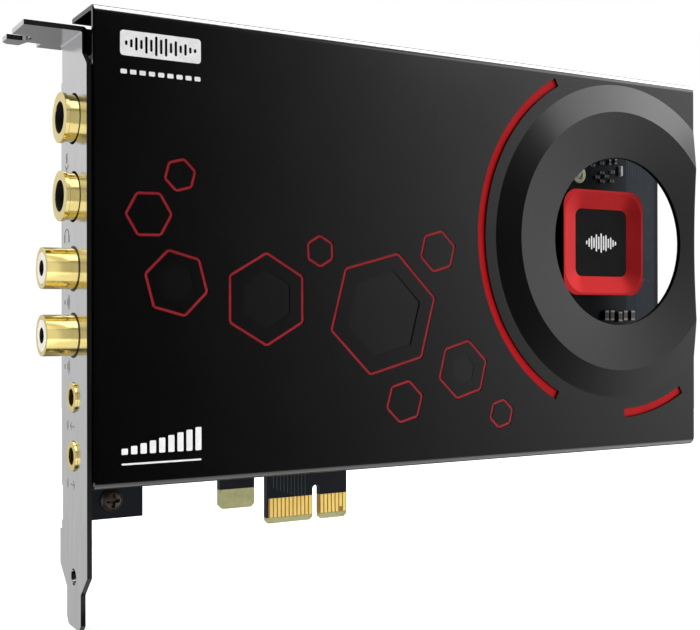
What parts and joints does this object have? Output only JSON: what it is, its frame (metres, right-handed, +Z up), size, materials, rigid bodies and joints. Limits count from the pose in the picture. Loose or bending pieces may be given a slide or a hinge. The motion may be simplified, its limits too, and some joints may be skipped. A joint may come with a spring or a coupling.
{
  "type": "pci express sound card",
  "caption": "Audio expansion card on a one-lane edge connector, with a black formed cover, round window over a red-framed heat sink, slot bracket and gold audio sockets",
  "frame": {"origin": "centre of the edge connector's key notch, on the board's middle plane, level with the connector's bottom edge", "axes": "+X along the board away from the bracket, -Y out of the covered component side, +Z up from the connector"},
  "size_m": [0.178, 0.0227, 0.1237],
  "materials": {
    "cover_black": "satin black coating",
    "inlay_red": "glossy dark red",
    "bracket_steel": "bright plated steel",
    "board_laminate": "dark solder mask",
    "contact_gold": "bright gold plating",
    "spring_copper": "bare copper alloy",
    "moulding_black": "fine moulded texture",
    "insulator_ivory": "smooth ivory moulding",
    "standoff_metal": "plain turned",
    "sink_black": "black anodised",
    "frame_red": "satin red anodised look",
    "pad_grey": "soft matt",
    "package_black": "fine matt moulding",
    "can_metal": "drawn metal can",
    "relay_shell": "smooth moulding",
    "ferrite_grey": "pressed ferrite"
  },
  "bodies": {
    "root": {"front_cover": "cover_black", "arc_inlays": "inlay_red", "hexagon_inlays": "inlay_red", "bracket": "bracket_steel", "bracket_screw_ledge": "bracket_steel", "circuit_board": "board_laminate", "edge_contacts": "contact_gold", "headphone_jack_bushing": "contact_gold", "microphone_jack_bushing": "contact_gold", "phono_jack_right_shell": "contact_gold", "phono_jack_left_shell": "contact_gold", "line_jack_upper_bushing": "contact_gold", "line_jack_lower_bushing": "contact_gold", "headphone_jack_contacts": "spring_copper", "microphone_jack_contacts": "spring_copper", "line_jack_upper_contacts": "spring_copper", "line_jack_lower_contacts": "spring_copper", "phono_jack_right_contact": "spring_copper", "phono_jack_left_contact": "spring_copper", "headphone_jack_body": "moulding_black", "microphone_jack_body": "moulding_black", "phono_housing": "moulding_black", "line_jack_upper_body": "moulding_black", "line_jack_lower_body": "moulding_black", "amplifier_sockets": "moulding_black", "front_panel_header": "moulding_black", "board_link_header": "moulding_black", "phono_jack_right_insulator": "insulator_ivory", "phono_jack_left_insulator": "insulator_ivory", "cover_standoffs": "standoff_metal", "heat_sink": "sink_black", "heat_sink_frame": "frame_red", "thermal_pad": "pad_grey", "audio_processor": "package_black", "amplifier_chips": "package_black", "converter_chips": "package_black", "memory_chip": "package_black", "voltage_regulators": "package_black", "electrolytic_capacitors": "can_metal", "crystal": "can_metal", "clock_oscillator": "can_metal", "signal_relays": "relay_shell", "power_inductors": "ferrite_grey"}
  },
  "joints": []
}
